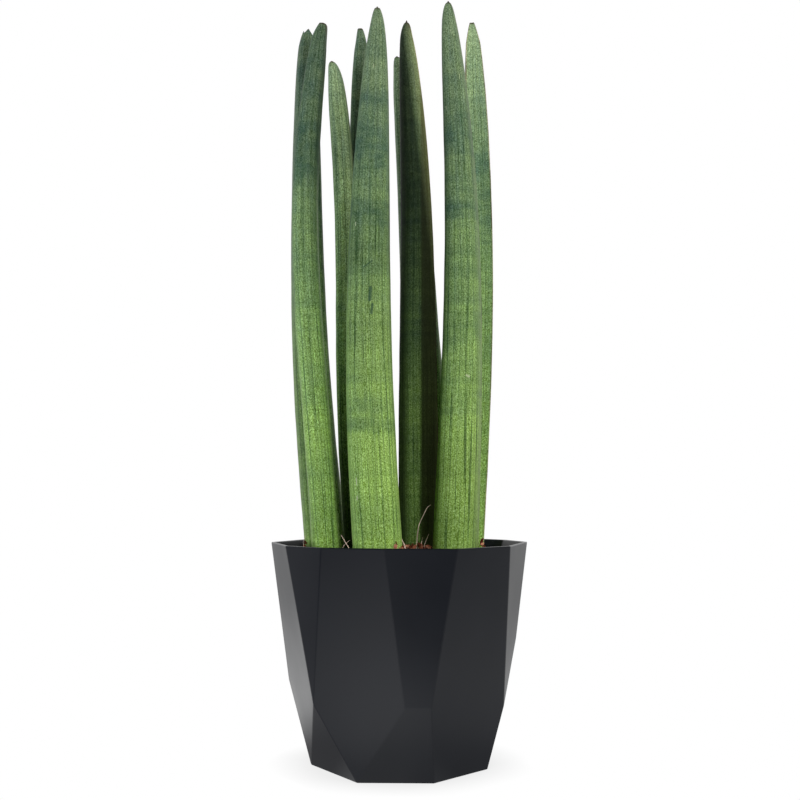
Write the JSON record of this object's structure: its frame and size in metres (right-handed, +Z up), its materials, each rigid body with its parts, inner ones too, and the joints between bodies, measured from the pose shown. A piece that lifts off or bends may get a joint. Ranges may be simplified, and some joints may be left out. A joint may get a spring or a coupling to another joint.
{
  "type": "potted cylindrical snake plant",
  "caption": "Potted succulent: upright, pointed, spear-like green leaves with a shallow channel, rooted in growing medium in a gem-cut dark plastic pot that stands on its flat base.",
  "frame": {"origin": "middle of the pot's flat underside, on the surface it stands on", "axes": "+Z up along the plant, -Y towards the front, where the two widest leaves stand"},
  "size_m": [0.1828, 0.1788, 0.5353],
  "materials": {
    "pot_plastic": "satin moulded plastic, anthracite",
    "growing_medium": "loose coconut-fibre growing medium, reddish brown",
    "leaf_skin": "waxy leaf skin, green with darker cross bands and fine lengthwise lines"
  },
  "bodies": {
    "root": {"pot": "pot_plastic", "growing_medium": "growing_medium", "leaf_front_middle": "leaf_skin", "leaf_front_right": "leaf_skin", "leaf_front_left": "leaf_skin", "leaf_centre": "leaf_skin", "leaf_inner_left": "leaf_skin", "leaf_rear_left": "leaf_skin", "leaf_short": "leaf_skin", "leaf_rear_middle": "leaf_skin", "leaf_rear_right": "leaf_skin"}
  },
  "joints": []
}
